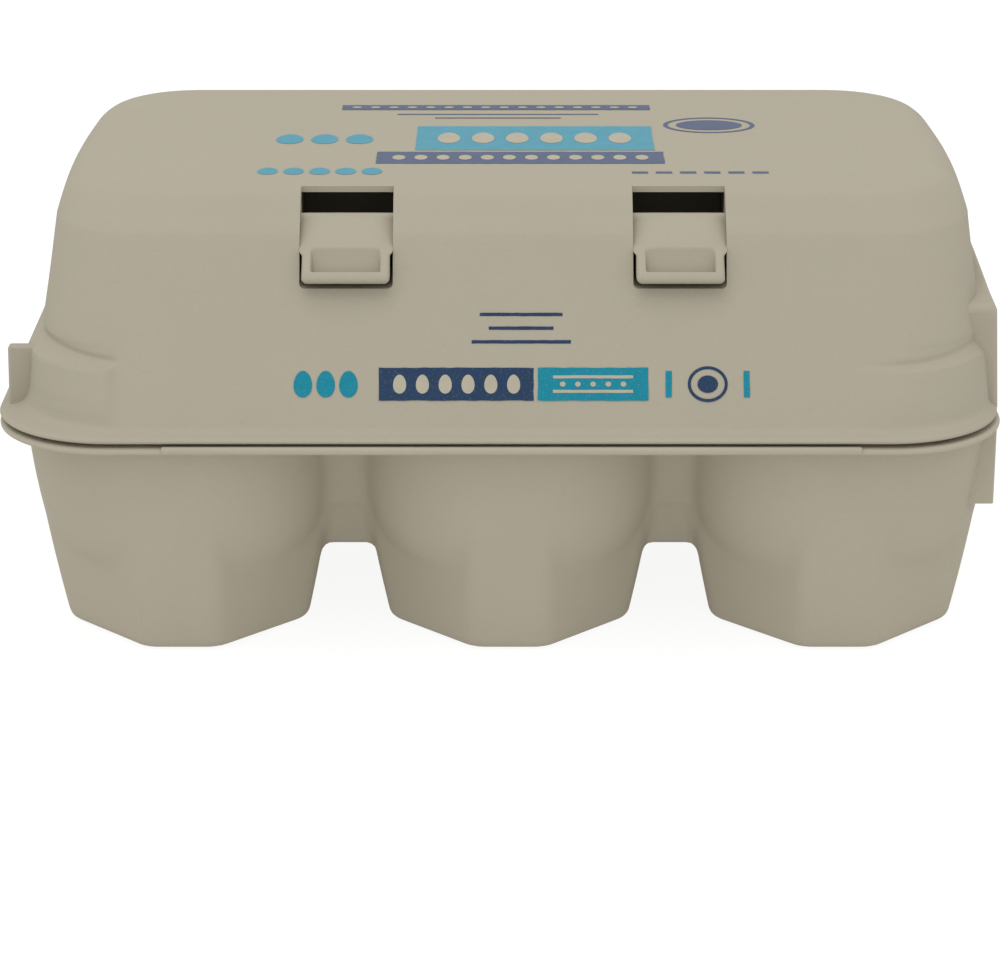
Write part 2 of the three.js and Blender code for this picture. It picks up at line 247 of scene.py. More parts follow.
def loft_faces(rings, count):
    """Quads between stacked closed rings of count points, with both ends closed."""
    faces = []
    for r in range(rings - 1):
        for i in range(count):
            a = r * count + i
            b = r * count + (i + 1) % count
            faces.append((a, b, b + count, a + count))
    top = (rings - 1) * count
    faces.append(tuple(range(count - 1, -1, -1)))
    faces.append(tuple(range(top, top + count)))
    return faces


def border_of(rows, columns):
    """Indices around a grid of points, once along each side."""
    border = list(range(columns))
    border += [r * columns + columns - 1 for r in range(1, rows)]
    border += [(rows - 1) * columns + c for c in range(columns - 2, -1, -1)]
    border += [r * columns for r in range(rows - 2, 0, -1)]
    return border


def through(keys, samples):
    """Rows of a table followed by a smooth curve, with samples rows between every two."""
    keys = np.asarray(keys, float)
    tangents = np.gradient(keys, axis=0)
    rows = []
    for k in range(len(keys) - 1):
        for s in range(samples):
            t = s / samples
            h00 = 2 * t ** 3 - 3 * t ** 2 + 1
            h10 = t ** 3 - 2 * t ** 2 + t
            h01 = -2 * t ** 3 + 3 * t ** 2
            h11 = t ** 3 - t ** 2
            row = h00 * keys[k] + h10 * tangents[k] + h01 * keys[k + 1] + h11 * tangents[k + 1]
            rows.append(row)
    rows.append(keys[-1])
    return np.array(rows)


def finish_piece(piece, slot=None, *nodes):
    """Rides on the carton and stands for its CAD nodes; slot is not used."""
    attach(piece, "root")
    if nodes:
        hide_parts(*nodes)


# ---------------------------------------------------------------- materials

# Widths of the pulp's and the print's grains, in millimetres.
CLOUD_MM = 11.0
GRAIN_MM = 0.45
FIBRE_MM = 0.40
FELT_MM = 0.42
WAVES_MM = 2.4
SPECK_MM = 0.30
WASH_MM = 3.0
INK_FELT_MM = 0.5

CLOUDINESS = 0.008                       # how much the pulp's colour wanders
# Short fibres: how they are stretched along the axes, and their tint of the pulp's colour.
FIBRES = [((0.22, 1, 1), 0.80), ((1, 0.22, 0.9), 1.18), ((0.9, 1, 0.22), 0.84)]


def shader(name, roughness, specular):
    """New material, with its node tree and its shader."""
    material = bpy.data.materials.new(name)
    material.use_nodes = True
    principled = material.node_tree.nodes["Principled BSDF"]
    principled.inputs["Roughness"].default_value = roughness
    principled.inputs["Specular IOR Level"].default_value = specular
    return material, material.node_tree, principled


def noise(tree, coordinates, grain_mm, detail=2.0, stretch=(1, 1, 1)):
    """Noise whose grains are about grain_mm wide, stretched along the axes."""
    mapping = tree.nodes.new("ShaderNodeMapping")
    mapping.inputs["Scale"].default_value = stretch
    tree.links.new(coordinates, mapping.inputs["Vector"])
    node = tree.nodes.new("ShaderNodeTexNoise")
    node.inputs["Scale"].default_value = 1 / (grain_mm * MM)
    node.inputs["Detail"].default_value = detail
    tree.links.new(mapping.outputs["Vector"], node.inputs["Vector"])
    return node.outputs["Fac"]


def levels(tree, value, source, target):
    """Value stretched from the source range to the target range, and held at its ends."""
    node = tree.nodes.new("ShaderNodeMapRange")
    node.inputs["From Min"].default_value = source[0]
    node.inputs["From Max"].default_value = source[1]
    node.inputs["To Min"].default_value = target[0]
    node.inputs["To Max"].default_value = target[1]
    tree.links.new(value, node.inputs["Value"])
    return node.outputs["Result"]


def math_node(tree, operation, a, b):
    """Result of a sum or product; a and b are numbers or sockets."""
    node = tree.nodes.new("ShaderNodeMath")
    node.operation = operation
    for socket, value in zip(node.inputs, (a, b)):
        if isinstance(value, (int, float)):
            socket.default_value = value
        else:
            tree.links.new(value, socket)
    return node.outputs["Value"]


def blend_colour(tree, share, first, second):
    """Colour that goes from first to second with a share; each is a colour or a socket."""
    node = tree.nodes.new("ShaderNodeMix")
    node.data_type = "RGBA"
    sockets = [s for s in node.inputs if s.type == "RGBA"]
    for socket, value in zip(sockets, (first, second)):
        if isinstance(value, tuple):
            socket.default_value = (*value, 1)
        else:
            tree.links.new(value, socket)
    tree.links.new(share, node.inputs["Factor"])
    return next(s for s in node.outputs if s.type == "RGBA")


def scaled(colour, factor):
    """Colour made lighter or darker by a factor."""
    return tuple(min(c * factor, 1.0) for c in colour)


def add_relief(tree, principled, height, strength, depth_mm):
    """Fine relief of the surface from a height."""
    bump = tree.nodes.new("ShaderNodeBump")
    bump.inputs["Strength"].default_value = strength
    bump.inputs["Distance"].default_value = depth_mm * MM
    tree.links.new(height, bump.inputs["Height"])
    tree.links.new(bump.outputs["Normal"], principled.inputs["Normal"])


def pulp_material(name, colour):
    """Moulded paper pulp: cloudy colour, short fibres, a felted matte relief."""
    material, tree, principled = shader(name, 0.93, 0.14)
    where = tree.nodes.new("ShaderNodeTexCoord").outputs["Object"]

    clouds = noise(tree, where, CLOUD_MM, detail=3.0)
    share = levels(tree, clouds, (0.35, 0.65), (0.0, 1.0))
    result = blend_colour(tree, share, scaled(colour, 1 - CLOUDINESS), scaled(colour, 1 + CLOUDINESS))

    grain = noise(tree, where, GRAIN_MM, detail=4.0)
    share = levels(tree, grain, (0.3, 0.7), (0.0, 0.16))
    result = blend_colour(tree, share, result, scaled(colour, 0.86))

    for stretch, tint in FIBRES:
        threads = noise(tree, where, FIBRE_MM, detail=1.0, stretch=stretch)
        share = levels(tree, threads, (0.70, 0.78), (0.0, 0.22))
        result = blend_colour(tree, share, result, scaled(colour, tint))
    tree.links.new(result, principled.inputs["Base Color"])

    fine = math_node(tree, "MULTIPLY", noise(tree, where, FELT_MM, detail=3.0), 0.5)
    broad = math_node(tree, "MULTIPLY", noise(tree, where, WAVES_MM, detail=2.0), 0.8)
    add_relief(tree, principled, math_node(tree, "ADD", fine, broad), 0.45, 0.10)
    return material


def ink_material(name, colour, pulp, cover):
    """Ink soaked into pulp: fine specks of pulp show through it."""
    material, tree, principled = shader(name, 0.85, 0.15)
    where = tree.nodes.new("ShaderNodeTexCoord").outputs["Object"]
    specks = noise(tree, where, SPECK_MM, detail=3.0)
    bare = levels(tree, specks, (0.56, 0.72), (0.0, 1.0 - cover))
    wash = levels(tree, noise(tree, where, WASH_MM, detail=2.0), (0.35, 0.65), (0.0, 0.5))
    washed = blend_colour(tree, wash, colour, scaled(colour, 1.12))
    tree.links.new(blend_colour(tree, bare, washed, pulp), principled.inputs["Base Color"])
    add_relief(tree, principled, noise(tree, where, INK_FELT_MM, detail=3.0), 0.35, 0.06)
    return material


def plain_material(name, colour, roughness):
    """One even matte colour."""
    material, _, principled = shader(name, roughness, 0.1)
    principled.inputs["Base Color"].default_value = (*colour, 1)
    return material


LID_PULP = pulp_material("lid_pulp", PULP)
# The tray's pulp is lighter than the lid's as painted light.
TRAY_PULP = pulp_material("tray_pulp", LIGHTENED_PULP_FOR_TRAY)
# Painted shade: the hollows behind the slots take this dark colour instead of their own pulp.
SLOT_PAINTED_SHADE = plain_material("slot_painted_shade", PULP_PAINTED_SHADE, 1.0)

# ---------------------------------------------------------------- tray, as a field of distances

TINY = 0.02                              # keeps distances smooth across a cup's middle


def cup_field(x, y, z, cx, cy):
    """Flat facets below and an egg-round bulge above, softly blended."""
    dx = np.sqrt((x - cx) ** 2 + TINY)
    dy = np.sqrt((y - cy) ** 2 + TINY)
    half = CUP_FOOT + CUP_DRAFT * z - CUP_CURVE * z ** 2
    turn = math.pi / 8
    long, short = np.maximum(dx, dy), np.minimum(dx, dy)
    oblique = (dx + dy - half - FACET_HALF) / math.sqrt(2)
    narrow = (long - half) * math.cos(turn) + (short - FACET_FLAT) * math.sin(turn)
    facets = smooth_max(smooth_max(long - half, oblique, OBLIQUE_EDGE), narrow, NARROW_EDGE)

    t = np.clip((z - BULGE_START) / (BULGE_FULL - BULGE_START), 0, 1)
    power = 2 + BULGE_SQUARE * t
    reach = half + BULGE_OVER - BULGE_RISE * (1 - t) ** 3
    round_outline = (dx ** power + dy ** power) ** (1 / power) - reach
    bulge = smooth_max(round_outline, long - half, FLAT_TO_BULGE)
    return smooth_max(smooth_min(facets, bulge, BULGE_TO_FACETS), -z, FOOT_EDGE)


def gap_wall_field(across, inward, z):
    """Wall between two cups at the tray's outside: across is measured from the middle of the gap, and
    inward from the line of cup centres, negative outside. It leans in going down to an arch."""
    out = np.interp(z, GAP_WALL_Z, GAP_WALL_OUT)
    sheet = (-out - inward) * 0.8
    wall = np.maximum(np.maximum(sheet, np.abs(across) - GAP_HALF), inward)
    wall = np.maximum(wall, ARCH_FOOT - 0.3 - z)
    flare = ARCH_FLARE * np.clip((ARCH_FOOT + 1 - z) / 4, 0, 1) ** 2
    opening = smooth_max(np.abs(across) - ARCH_HALF - flare, z - ARCH_TOP, ARCH_CORNER)
    arched = smooth_max(wall, -opening, ARCH_EDGE)

    up = np.clip((z - WEB_BOTTOM) / (ARCH_TOP - WEB_BOTTOM), 0, 1)
    web = np.maximum(np.abs(across) - GAP_HALF, -inward - (WEB_FACE + WEB_LEAN * up))
    web = smooth_max(np.maximum(web, inward - 2), WEB_BOTTOM - z, WEB_EDGE)
    return smooth_min(arched, web, WEB_EDGE)


def tray_field(x, y, z):
    """Distance to the tray below its rim: its middle, the walls between the cups, and the cups."""
    columns = [COLUMN_SHIFT + k * COLUMN_PITCH for k in (-1, 0, 1)]
    reach_x = COLUMN_PITCH
    reach_y = ROW_PITCH / 2
    from_middle = x - COLUMN_SHIFT
    body = np.maximum(np.abs(from_middle) - reach_x - MIDDLE_OVER, np.abs(y) - reach_y - MIDDLE_OVER)
    body = smooth_max(body, WEB_BOTTOM - z, WEB_EDGE)
    for side in (-1, 1):
        for column in columns[:2]:
            across = x - column - COLUMN_PITCH / 2
            wall = gap_wall_field(across, reach_y - side * y, z)
            body = smooth_min(body, wall, WALL_TO_MIDDLE)
        wall = gap_wall_field(y, reach_x - side * from_middle, z)
        body = smooth_min(body, wall, WALL_TO_MIDDLE)
    for column in columns:
        for side in (-1, 1):
            cup = cup_field(x, y, z, column, side * reach_y)
            body = smooth_min(body, cup, CUP_TO_WALL)
    return np.maximum(np.maximum(body, z - RIM_UNDERSIDE - 0.4), x - CUP_END)


def surface_net(field, xs, ys, zs):
    """Quads over the surface where a field is zero, with their points pulled onto it."""
    grid = np.meshgrid(xs, ys, zs, indexing="ij")
    values = field(*grid)
    inside = values < 0
    shape = np.array(inside.shape) - 1
    corners = [np.array([i, j, k]) for i in (0, 1) for j in (0, 1) for k in (0, 1)]

    filled = np.zeros(shape, int)
    for i, j, k in corners:
        filled += inside[i:shape[0] + i, j:shape[1] + j, k:shape[2] + k]
    cells = np.argwhere((filled > 0) & (filled < 8))
    index = -np.ones(shape, int)
    index[tuple(cells.T)] = np.arange(len(cells))

    total = np.zeros((len(cells), 3))
    hits = np.zeros(len(cells))
    for a in corners:
        for b in corners:
            if (b - a).sum() != 1 or np.abs(b - a).sum() != 1:
                continue
            ends = [tuple((cells + c).T) for c in (a, b)]
            va, vb = (values[e] for e in ends)
            pa, pb = (np.stack([g[e] for g in grid], -1) for e in ends)
            crossed = (va < 0) != (vb < 0)
            t = np.where(crossed, va / np.where(crossed, va - vb, 1), 0)
            total += np.where(crossed[:, None], pa + t[:, None] * (pb - pa), 0)
            hits += crossed
    points = total / hits[:, None]

    faces = []
    for axis in range(3):
        u, v = np.eye(3, dtype=int)[[(axis + 1) % 3, (axis + 2) % 3]]
        low = np.take(inside, range(shape[axis]), axis)
        high = np.take(inside, range(1, shape[axis] + 1), axis)
        edges = np.argwhere(low != high)
        others = [(axis + 1) % 3, (axis + 2) % 3]
        kept = np.all((edges[:, others] > 0) & (edges[:, others] < shape[others]), 1)
        edges = edges[kept]
        quads = np.stack([index[tuple((edges - d).T)] for d in (0 * u, u, u + v, v)], -1)
        outward = low[tuple(edges.T)]
        quads[~outward] = quads[~outward][:, ::-1]
        faces.append(quads)

    step = 0.05
    for _ in range(3):
        value = field(*points.T)
        slope = np.stack([(field(*(points + d).T) - field(*(points - d).T)) / (2 * step)
                          for d in np.eye(3) * step], -1)
        move = value / np.maximum((slope ** 2).sum(-1), 0.3)
        points -= slope * np.clip(move, -0.4, 0.4)[:, None]
    return points, np.concatenate(faces)


def rounded_ring(left, right, depth, radius, z, side_points, corner_steps):
    """Closed ring of a rectangle with round corners, with side_points points between the corners on
    each straight side. It also returns the outward normals."""
    points = []
    normals = []
    corners = [
        (right - radius, -depth + radius, -90),
        (right - radius, depth - radius, 0),
        (left + radius, depth - radius, 90),
        (left + radius, -depth + radius, 180),
    ]
    for k, (cx, cy, start) in enumerate(corners):
        for s in range(corner_steps + 1):
            angle = math.radians(start + 90 * s / corner_steps)
            normals.append((math.cos(angle), math.sin(angle), 0))
            points.append((cx + radius * math.cos(angle), cy + radius * math.sin(angle), z))
        nx, ny, _ = corners[(k + 1) % 4]
        out = math.radians(start + 90)
        normal = (math.cos(out), math.sin(out), 0)
        a = np.array([cx + radius * normal[0], cy + radius * normal[1]])
        b = np.array([nx + radius * normal[0], ny + radius * normal[1]])
        for s in range(side_points):
            x, y = a + (s + 1) / (side_points + 1) * (b - a)
            points.append((x, y, z))
            normals.append(normal)
    return np.array(points), np.array(normals)


def make_tray():
    """Cups and walls from the field, and the rim over them."""
    xs = np.arange(-75.0, 75.1, TRAY_GRAIN)
    ys = np.arange(-51.0, 51.1, TRAY_GRAIN)
    low = np.arange(-FOOT_GRAIN, 2.0, FOOT_GRAIN)
    high = np.arange(2.0, RIM_UNDERSIDE + 1.2, TRAY_GRAIN)
    zs = np.concatenate([low, high])
    points, faces = surface_net(tray_field, xs, ys, zs)
    cups = make_mesh("tray_cups", points, faces, TRAY_PULP)
    finish_piece(cups, "tray_pulp", "base")

    rings = []
    for z, inset in through(RIM_SECTION, 3):
        ring, _ = rounded_ring(RIM_LEFT + inset, RIM_RIGHT - inset, RIM_HALF_DEPTH - inset,
                               RIM_CORNER - inset, z, side_points=11, corner_steps=24)
        rings.append(ring)
    faces = loft_faces(len(rings), len(rings[0]))
    rim = make_mesh("tray_rim", np.concatenate(rings), faces, TRAY_PULP, 50)
    finish_piece(rim, "tray_pulp", "base")


def make_fold(name, side):
    """Folded strip of pulp along the rim: a flat bar with round edges and round ends."""
    out = RIM_HALF_DEPTH - FOLD_INSET
    rings = []
    for share, shrink in FOLD_STATIONS:
        half_thickness = FOLD_THICKNESS / 2 - shrink
        half_height = (FOLD_HIGH - FOLD_LOW) / 2 - shrink
        radius = FOLD_RADIUS - shrink / 2
        ring, _ = rounded_ring(-half_thickness, half_thickness, half_height, radius, 0,
                               side_points=1, corner_steps=5)
        across, up = ring[:, 0], ring[:, 1]
        along = np.full(len(ring), share * FOLD_HALF)
        rings.append(np.stack([along, side * (out + across), (FOLD_LOW + FOLD_HIGH) / 2 + up], -1))
    faces = loft_faces(len(rings), len(rings[0]))
    if side > 0:
        faces = [face[::-1] for face in faces]
    fold = make_mesh(name, np.concatenate(rings), faces, TRAY_PULP, 60)
    finish_piece(fold, "tray_pulp", "base")


# ---------------------------------------------------------------- blocks and rib at the ends


def eased(count):
    """Numbers from 0 to 1 that stand close together near both ends."""
    t = np.linspace(0, 1, count)
    return 0.5 - 0.5 * np.cos(math.pi * t)


def rounded_off(distance, radius):
    """How much a round edge of a given radius takes off at a distance from the corner."""
    into_edge = np.clip(radius - distance, 0, radius)
    return radius - np.sqrt(radius ** 2 - into_edge ** 2)


def make_block(name, y_range, bottom, top, face, root, radius, material):
    """Block that stands out of an end wall. top gives its height from y, and face its x from z; it is
    rooted inside the carton at x = root, and its free edges are rounded."""
    y = y_range[0] + (y_range[1] - y_range[0]) * eased(71)[None, :]
    share = eased(45)[:, None]
    z = bottom + (top(y) - bottom) * share
    y = np.broadcast_to(y, z.shape)
    to_side = np.minimum(y - y_range[0], y_range[1] - y)
    near_side = np.clip(radius - to_side, 0, radius)
    near_top = np.clip(radius - (top(y) - z), 0, radius)
    into_edge = np.minimum(np.hypot(near_side, near_top), radius)
    inset = radius - np.sqrt(radius ** 2 - into_edge ** 2)
    side = 1 if face(bottom) > root else -1
    x = face(z) - side * inset

    rows, columns = z.shape
    front = np.stack([x, y, z], -1).reshape(-1, 3)
    border = border_of(rows, columns)
    rooted = front[border]
    rooted[:, 0] = root
    faces = []
    for r in range(rows - 1):
        for c in range(columns - 1):
            a = r * columns + c
            faces.append((a, a + 1, a + columns + 1, a + columns))
    start = len(front)
    count = len(border)
    for i in range(count):
        j = (i + 1) % count
        faces.append((border[i], start + i, start + j, border[j]))
    faces.append(tuple(range(start + count - 1, start - 1, -1)))
    if side < 0:
        faces = [f[::-1] for f in faces]
    return make_mesh(name, np.concatenate([front, rooted]), faces, material, 50)


def make_end_blocks():
    """The lid's and the tray's block at the right end, and the lid's rib at the left end."""
    half = BRIDGE_HALF

    def lid_top(y):
        bow = LID_BRIDGE_CROWN * np.clip(np.abs(y) / half, 0, 1) ** 1.3
        return LID_BRIDGE_TOP - bow - rounded_off(half - np.abs(y), LID_BRIDGE_CORNER)

    def lid_face(z):
        lean = 0.05 * np.clip(z - LID_BRIDGE_BOTTOM, 0, 15)
        return BRIDGE_FACE - lean - 0.25 * ramp(z, 51.2, 52.4)

    def tray_top(y):
        return TRAY_BRIDGE_TOP + 0 * y

    def tray_face(z):
        return BRIDGE_FACE + 0 * z

    def rib_top(y):
        return RIB_TOP - rounded_off(np.minimum(y - RIB_FRONT, RIB_BACK - y), RIB_CORNER)

    def rib_face(z):
        return RIB_FACE + RIB_LEAN * (z - LID_BRIDGE_BOTTOM)

    block = make_block("lid_bridge", (-half, half), LID_BRIDGE_BOTTOM, lid_top, lid_face,
                       BRIDGE_ROOT, LID_BRIDGE_EDGE, LID_PULP)
    finish_piece(block, "lid_pulp", "lid")

    block = make_block("tray_bridge", (-half, half), TRAY_BRIDGE_BOTTOM, tray_top, tray_face,
                       BRIDGE_ROOT, TRAY_BRIDGE_EDGE, TRAY_PULP)
    finish_piece(block, "tray_pulp", "base")

    rib = make_block("lid_rib", (RIB_FRONT, RIB_BACK), LID_BRIDGE_BOTTOM, rib_top, rib_face, RIB_ROOT,
                     RIB_EDGE, LID_PULP)
    finish_piece(rib, "lid_pulp", "lid")


# ---------------------------------------------------------------- lid


def ledge_out(z, size, edge, groove_height):
    """How far ledges of given sizes stand out at a height: they grow up to their edge, and above it a
    sloping face leads into a shallow groove in the wall."""
    heights, shares = np.transpose(LEDGE_GROWTH)
    above = z - edge
    face = np.clip(1 - above / groove_height, 0, 1) ** LEDGE_FACE_POWER
    groove = GROOVE_DEPTH * np.exp(-((above - groove_height) / GROOVE_WIDTH) ** 2)
    return size * np.interp(z, heights, shares) * face - groove * np.clip(size, 0, 1)


def lid_ring(row):
    """Closed ring of the lid's skin at one section."""
    z, left, right, depth, radius, bow = row
    ring, normals = rounded_ring(left, right, depth, radius, z, side_points=39, corner_steps=36)
    x, y = ring[:, 0], ring[:, 1]

    # the left ledge is widest at the corners, ends in a step and dips amid the end; the right one fades
    # out along the front and back
    facing = normals[:, 0] ** 2
    left_size = LEDGE_LEFT + (LEDGE_LEFT_CORNER - LEDGE_LEFT) * 4 * facing * (1 - facing)
    left_size *= ramp(-x, *LEDGE_LEFT_FADE) * ramp(np.abs(y), *LEDGE_DIP)
    right_size = LEDGE_RIGHT * ramp(x, *LEDGE_RIGHT_FADE)
    size = np.where(x < 0, left_size, right_size)
    edge = np.where(x < 0, LEDGE_EDGE_LEFT, LEDGE_EDGE_RIGHT)
    groove_height = GROOVE_LOW + (GROOVE_HIGH - GROOVE_LOW) * facing
    ring = ring + normals * ledge_out(z, size, edge, groove_height)[:, None]
    ring[:, 0] += np.sign(x) * bow * np.clip(1 - (y / BOW_REACH) ** 2, 0, 1) ** 1.5
    return ring


def make_cutter(profile_xz, y0, y1, material):
    """Prism along Y with a section in X and Z that turns counter-clockwise seen from the front."""
    points = [(x, y, z) for y in (y0, y1) for x, z in reversed(profile_xz)]
    return make_mesh("cutter", points, loft_faces(2, len(profile_xz)), material)


def slot_profile(x):
    """Outline of a slot seen from the front, round at its lower corners and open at the top."""
    points = []
    for cx, start in ((x - SLOT_HALF + SLOT_CORNER, 180), (x + SLOT_HALF - SLOT_CORNER, 270)):
        for s in range(7):
            angle = math.radians(start + 90 * s / 6)
            points.append((cx + SLOT_CORNER * math.cos(angle),
                           SLOT_FLOOR + SLOT_CORNER + SLOT_CORNER * math.sin(angle)))
    points += [(x + SLOT_HALF, LID_TOP + 3), (x - SLOT_HALF, LID_TOP + 3)]
    return points


def subtract(piece, cutter):
    """Takes a cutter out of a piece, for good, with the cutter's material on the cut faces."""
    modifier = piece.modifiers.new("cut", "BOOLEAN")
    modifier.operation = "DIFFERENCE"
    modifier.solver = "EXACT"
    modifier.material_mode = "TRANSFER"
    modifier.object = cutter
    bpy.context.view_layer.update()
    evaluated = piece.evaluated_get(bpy.context.evaluated_depsgraph_get())
    cut = bpy.data.meshes.new_from_object(evaluated)
    piece.modifiers.clear()
    piece.data = cut
    bpy.data.objects.remove(cutter)


def make_lid():
    """Skin over the sections, with the slots cut into its front shoulder."""
    table = through(LID_SECTIONS, 4)
    close = np.arange(LEDGE_EDGE_RIGHT - 0.4, LEDGE_EDGE_LEFT + 3.6, 0.12)
    rings = []
    for z in np.union1d(table[:, 0], close):
        rings.append(lid_ring([z] + [np.interp(z, table[:, 0], table[:, k]) for k in range(1, 6)]))
    faces = loft_faces(len(rings), len(rings[0]))
    lid = make_mesh("lid_shell", np.concatenate(rings), faces, LID_PULP)
    low = SLOT_FLOOR + SLOT_SILL
    high = LID_TOP - PULP_THICKNESS
    for x in LATCH_X:
        subtract(lid, make_cutter(slot_profile(x), -SLOT_OPEN, -SLOT_BACK, LID_PULP))
        left, right = x - SLOT_HALF, x + SLOT_HALF
        hollow = [(left, low), (right, low), (right, high), (left, high)]
        start, end = -SLOT_BACK - HOLLOW_OVERLAP, -SLOT_BACK + SLOT_HOLLOW
        # the hollow's cut faces take the painted shade
        subtract(lid, make_cutter(hollow, start, end, SLOT_PAINTED_SHADE))
    lid.data.shade_smooth()
    lid.data.set_sharp_from_angle(angle=math.radians(38))
    finish_piece(lid, "lid_pulp", "lid")


# ---------------------------------------------------------------- latch tongues

# Section of a tongue from behind its top edge down to the tuck below its lip: [y, z].
TONGUE_LINE = [
    [-32.3, 63.6], [-33.0, 64.8], [-34.2, 65.3], [-35.3, 65.05], [-36.6, 64.3], [-38.4, 63.1],
    [-40.0, 61.85], [-41.4, 60.6], [-42.6, 59.6], [-43.4, 58.9], [-43.9, 58.2], [-43.9, 57.55],
    [-43.3, 57.1], [-42.2, 57.0],
]
TONGUE_HALF_TOP = 6.78
TONGUE_HALF_LIP = 6.35
TONGUE_STEP_HIGH = 61.5                  # it narrows to its lip between these heights
TONGUE_STEP_LOW = 60.8
TONGUE_THICKNESS = 3.2
TONGUE_BACK = -33.5                      # its back lies no further out than this
TONGUE_BACK_TOP = 63.4
TONGUE_BACK_FALL = 0.9                   # how much lower its back lies than its face
TONGUE_CLEARANCE = 0.45                  # between its back and the slot's floor
SHOULDER_DROP = 0.9                      # how much its sides fall away above the lip
SHOULDER_WIDTH = 3.0
LIP_CORNER = 0.6
LIP_DROP = 0.35
LIP_EDGE = 0.5
POCKET_HALF = 4.95
POCKET_TOP = 61.65
POCKET_BOTTOM = 59.2
POCKET_DEPTH = 1.95


def make_tongue(name, middle_x, node):
    """A sheet over the section, with a pocket in its face, round sides and round lower corners."""
    line = through(TONGUE_LINE, 7)
    along = np.gradient(line, axis=0)
    along /= np.linalg.norm(along, axis=1)[:, None]
    normal = np.stack([along[:, 1], -along[:, 0]], -1)
    if normal[len(line) // 2, 0] > 0:
        normal = -normal
    across = np.linspace(-1, 1, 81)
    rows, columns = len(line), len(across)
    z = line[:, 1][:, None]
    narrowing = ramp(-z, -TONGUE_STEP_HIGH, -TONGUE_STEP_LOW)
    half = TONGUE_HALF_TOP + (TONGUE_HALF_LIP - TONGUE_HALF_TOP) * narrowing
    rounding = np.clip(LIP_CORNER - (z - line[:, 1].min()), 0, LIP_CORNER)
    half = half - (LIP_CORNER - np.sqrt(LIP_CORNER ** 2 - rounding ** 2)) * 0.8
    u = half * across[None, :]

    edge = half - np.abs(u)
    upper = ramp(z, 60.6, 62.4) * (1 - ramp(z, 64.9, 65.3))
    drop = upper * SHOULDER_DROP * np.clip(1 - edge / SHOULDER_WIDTH, 0, 1) ** 1.6
    drop += (1 - ramp(z, 60.6, 62.0)) * LIP_DROP * np.clip(1 - edge / LIP_EDGE, 0, 1) ** 2
    within_sides = 1 - ramp(np.abs(u), POCKET_HALF - 0.22, POCKET_HALF + 0.18)
    above_floor = ramp(z, POCKET_BOTTOM - 0.3, POCKET_BOTTOM + 0.12)
    depth = np.clip((POCKET_TOP - z) / (POCKET_TOP - POCKET_BOTTOM), 0, 1) ** 0.8
    pocket = POCKET_DEPTH * depth * within_sides * above_floor
    inwards = drop + pocket

    x = middle_x + u
    front = np.stack([x, line[:, 0][:, None] - inwards * normal[:, 0][:, None],
                      z - inwards * normal[:, 1][:, None]], -1)
    back = front.copy()
    lowest = SLOT_FLOOR + TONGUE_CLEARANCE
    back[..., 1] = np.maximum(front[..., 1] + TONGUE_THICKNESS, TONGUE_BACK)
    back[..., 2] = np.clip(front[..., 2] - TONGUE_BACK_FALL, lowest, TONGUE_BACK_TOP)
    points = np.concatenate([front.reshape(-1, 3), back.reshape(-1, 3)])
    faces = []
    total = rows * columns
    for r in range(rows - 1):
        for c in range(columns - 1):
            a = r * columns + c
            quad = (a, a + columns, a + columns + 1, a + 1)
            faces.append(quad)
            faces.append(tuple(total + q for q in reversed(quad)))
    border = border_of(rows, columns)
    for a, b in zip(border, border[1:] + border[:1]):
        faces.append((a, b, b + total, a + total))
    tongue = make_mesh(name, points, faces, LID_PULP, 60)
    finish_piece(tongue, "lid_pulp", node)


# ---------------------------------------------------------------- print: plain fields and shapes

TEAL_INK = ink_material("ink_teal", TEAL, PULP, 0.86)
NAVY_INK = ink_material("ink_navy", NAVY, PULP, 0.88)
# The top's print takes the paler copies of the inks: painted sheen.
SHEEN_TEAL_INK = ink_material("ink_teal_sheened_top", SHEEN_TEAL_COLOUR, PULP, 0.80)
SHEEN_NAVY_INK = ink_material("ink_navy_sheened_top", SHEEN_NAVY_COLOUR, PULP, 0.80)
UNPRINTED = ink_material("unprinted", scaled(PULP, 1.04), PULP, 0.5)
rng = np.random.default_rng(6)


def bar(x0, x1, v0, v1, rough=0.045, step=0.9):
    """Outline of a bar whose edges waver a little, as a soft printing plate leaves them."""
    corners = [(x0, v0), (x1, v0), (x1, v1), (x0, v1)]
    points = []
    for (ax, av), (bx, bv) in zip(corners, corners[1:] + corners[:1]):
        length = math.hypot(bx - ax, bv - av)
        count = max(int(length / step), 1)
        for s in range(count):
            t = s / count
            points.append((ax + t * (bx - ax), av + t * (bv - av)))
    outline = np.array(points)
    return outline + rng.uniform(-rough, rough, outline.shape)


def oval(x, v, half_x, half_v, steps=28, egg=0.0):
    """Outline of an oval, narrower at its upper end by the share egg."""
    angles = np.linspace(0, 2 * math.pi, steps, endpoint=False)
    narrowing = 1 - egg * np.sin(angles)
    return np.stack([x + half_x * np.cos(angles) * narrowing, v + half_v * np.sin(angles)], -1)


def on_front(outline, lift):
    """Points [x, z] laid on the front wall."""
    x, z = outline.T
    y = -(WALL_DEPTH + WALL_SLOPE * (WALL_Z - z))
    normal = np.array([0, -1, WALL_SLOPE]) / math.hypot(1, WALL_SLOPE)
    return np.stack([x, y, z], -1) + normal * lift


def on_top(outline, lift):
    """Points [x, y] laid on the lid's top."""
    x, y = outline.T
    return np.stack([x, y, np.full(len(x), LID_TOP + lift)], -1)


def print_layer(name, outlines, place, material, lift=INK):
    """One thin layer of ink for several outlines. A pair of outlines is a ring between the two."""
    points = []
    faces = []
    for outline in outlines:
        start = len(points)
        if isinstance(outline, tuple):
            outer, inner = outline
            count = len(outer)
            points += list(place(outer, lift)) + list(place(inner, lift))
            for i in range(count):
                j = (i + 1) % count
                faces.append((start + i, start + j, start + count + j, start + count + i))
        else:
            points += list(place(outline, lift))
            faces.append(tuple(range(start, start + len(outline))))
    finish_piece(make_mesh(name, points, faces, material))


